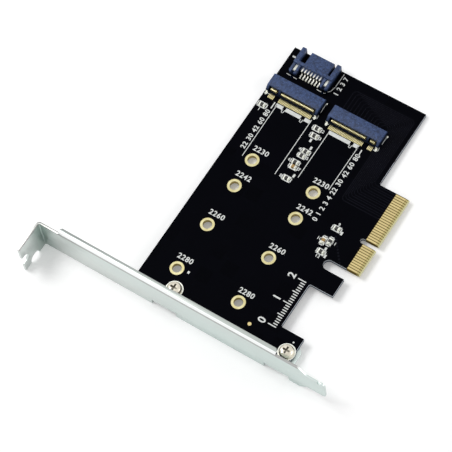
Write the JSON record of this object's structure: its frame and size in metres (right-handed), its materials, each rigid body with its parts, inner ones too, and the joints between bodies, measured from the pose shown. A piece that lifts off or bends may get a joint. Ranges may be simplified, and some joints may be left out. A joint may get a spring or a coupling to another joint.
{
  "type": "expansion card adapter for drive modules",
  "caption": "Black adapter card with a full-height slot bracket, an edge connector, two module sockets with rows of hold-down holes, and a drive cable socket.",
  "frame": {"origin": "on the board's component face, at the tips of the edge contacts and the middle of their key notch", "axes": "+X away from the bracket towards the cable socket, +Y from the edge contacts towards the board's top edge, +Z out of the component face"},
  "size_m": [0.1246, 0.12, 0.0184],
  "materials": {
    "board": "gloss",
    "gold": "satin",
    "bracket_steel": "satin",
    "screw_nickel": "satin",
    "socket_resin": "matte",
    "contact_gold": "satin",
    "tinned_steel": "satin",
    "chip_ceramic": "matte"
  },
  "bodies": {
    "root": {"back_contact_fingers": "gold", "chip_bodies": "chip_ceramic", "chip_end_caps": "tinned_steel", "circuit_board": "board", "drive_socket_clips": "tinned_steel", "drive_socket_contacts": "contact_gold", "drive_socket_housing": "socket_resin", "front_contact_fingers": "gold", "hole_ring_2230_b": "gold", "hole_ring_2230_m": "gold", "hole_ring_2242_b": "gold", "hole_ring_2242_m": "gold", "hole_ring_2260_b": "gold", "hole_ring_2260_m": "gold", "hole_ring_2280_b": "gold", "hole_ring_2280_m": "gold", "lower_bracket_screw": "screw_nickel", "marker_pad": "gold", "slot_bracket": "bracket_steel", "socket_b_anchors": "tinned_steel", "socket_b_front_contacts": "contact_gold", "socket_b_housing": "socket_resin", "socket_b_rear_contacts": "contact_gold", "socket_m_anchors": "tinned_steel", "socket_m_front_contacts": "contact_gold", "socket_m_housing": "socket_resin", "socket_m_rear_contacts": "contact_gold", "solder_pads": "tinned_steel", "upper_bracket_screw": "screw_nickel"}
  },
  "joints": []
}
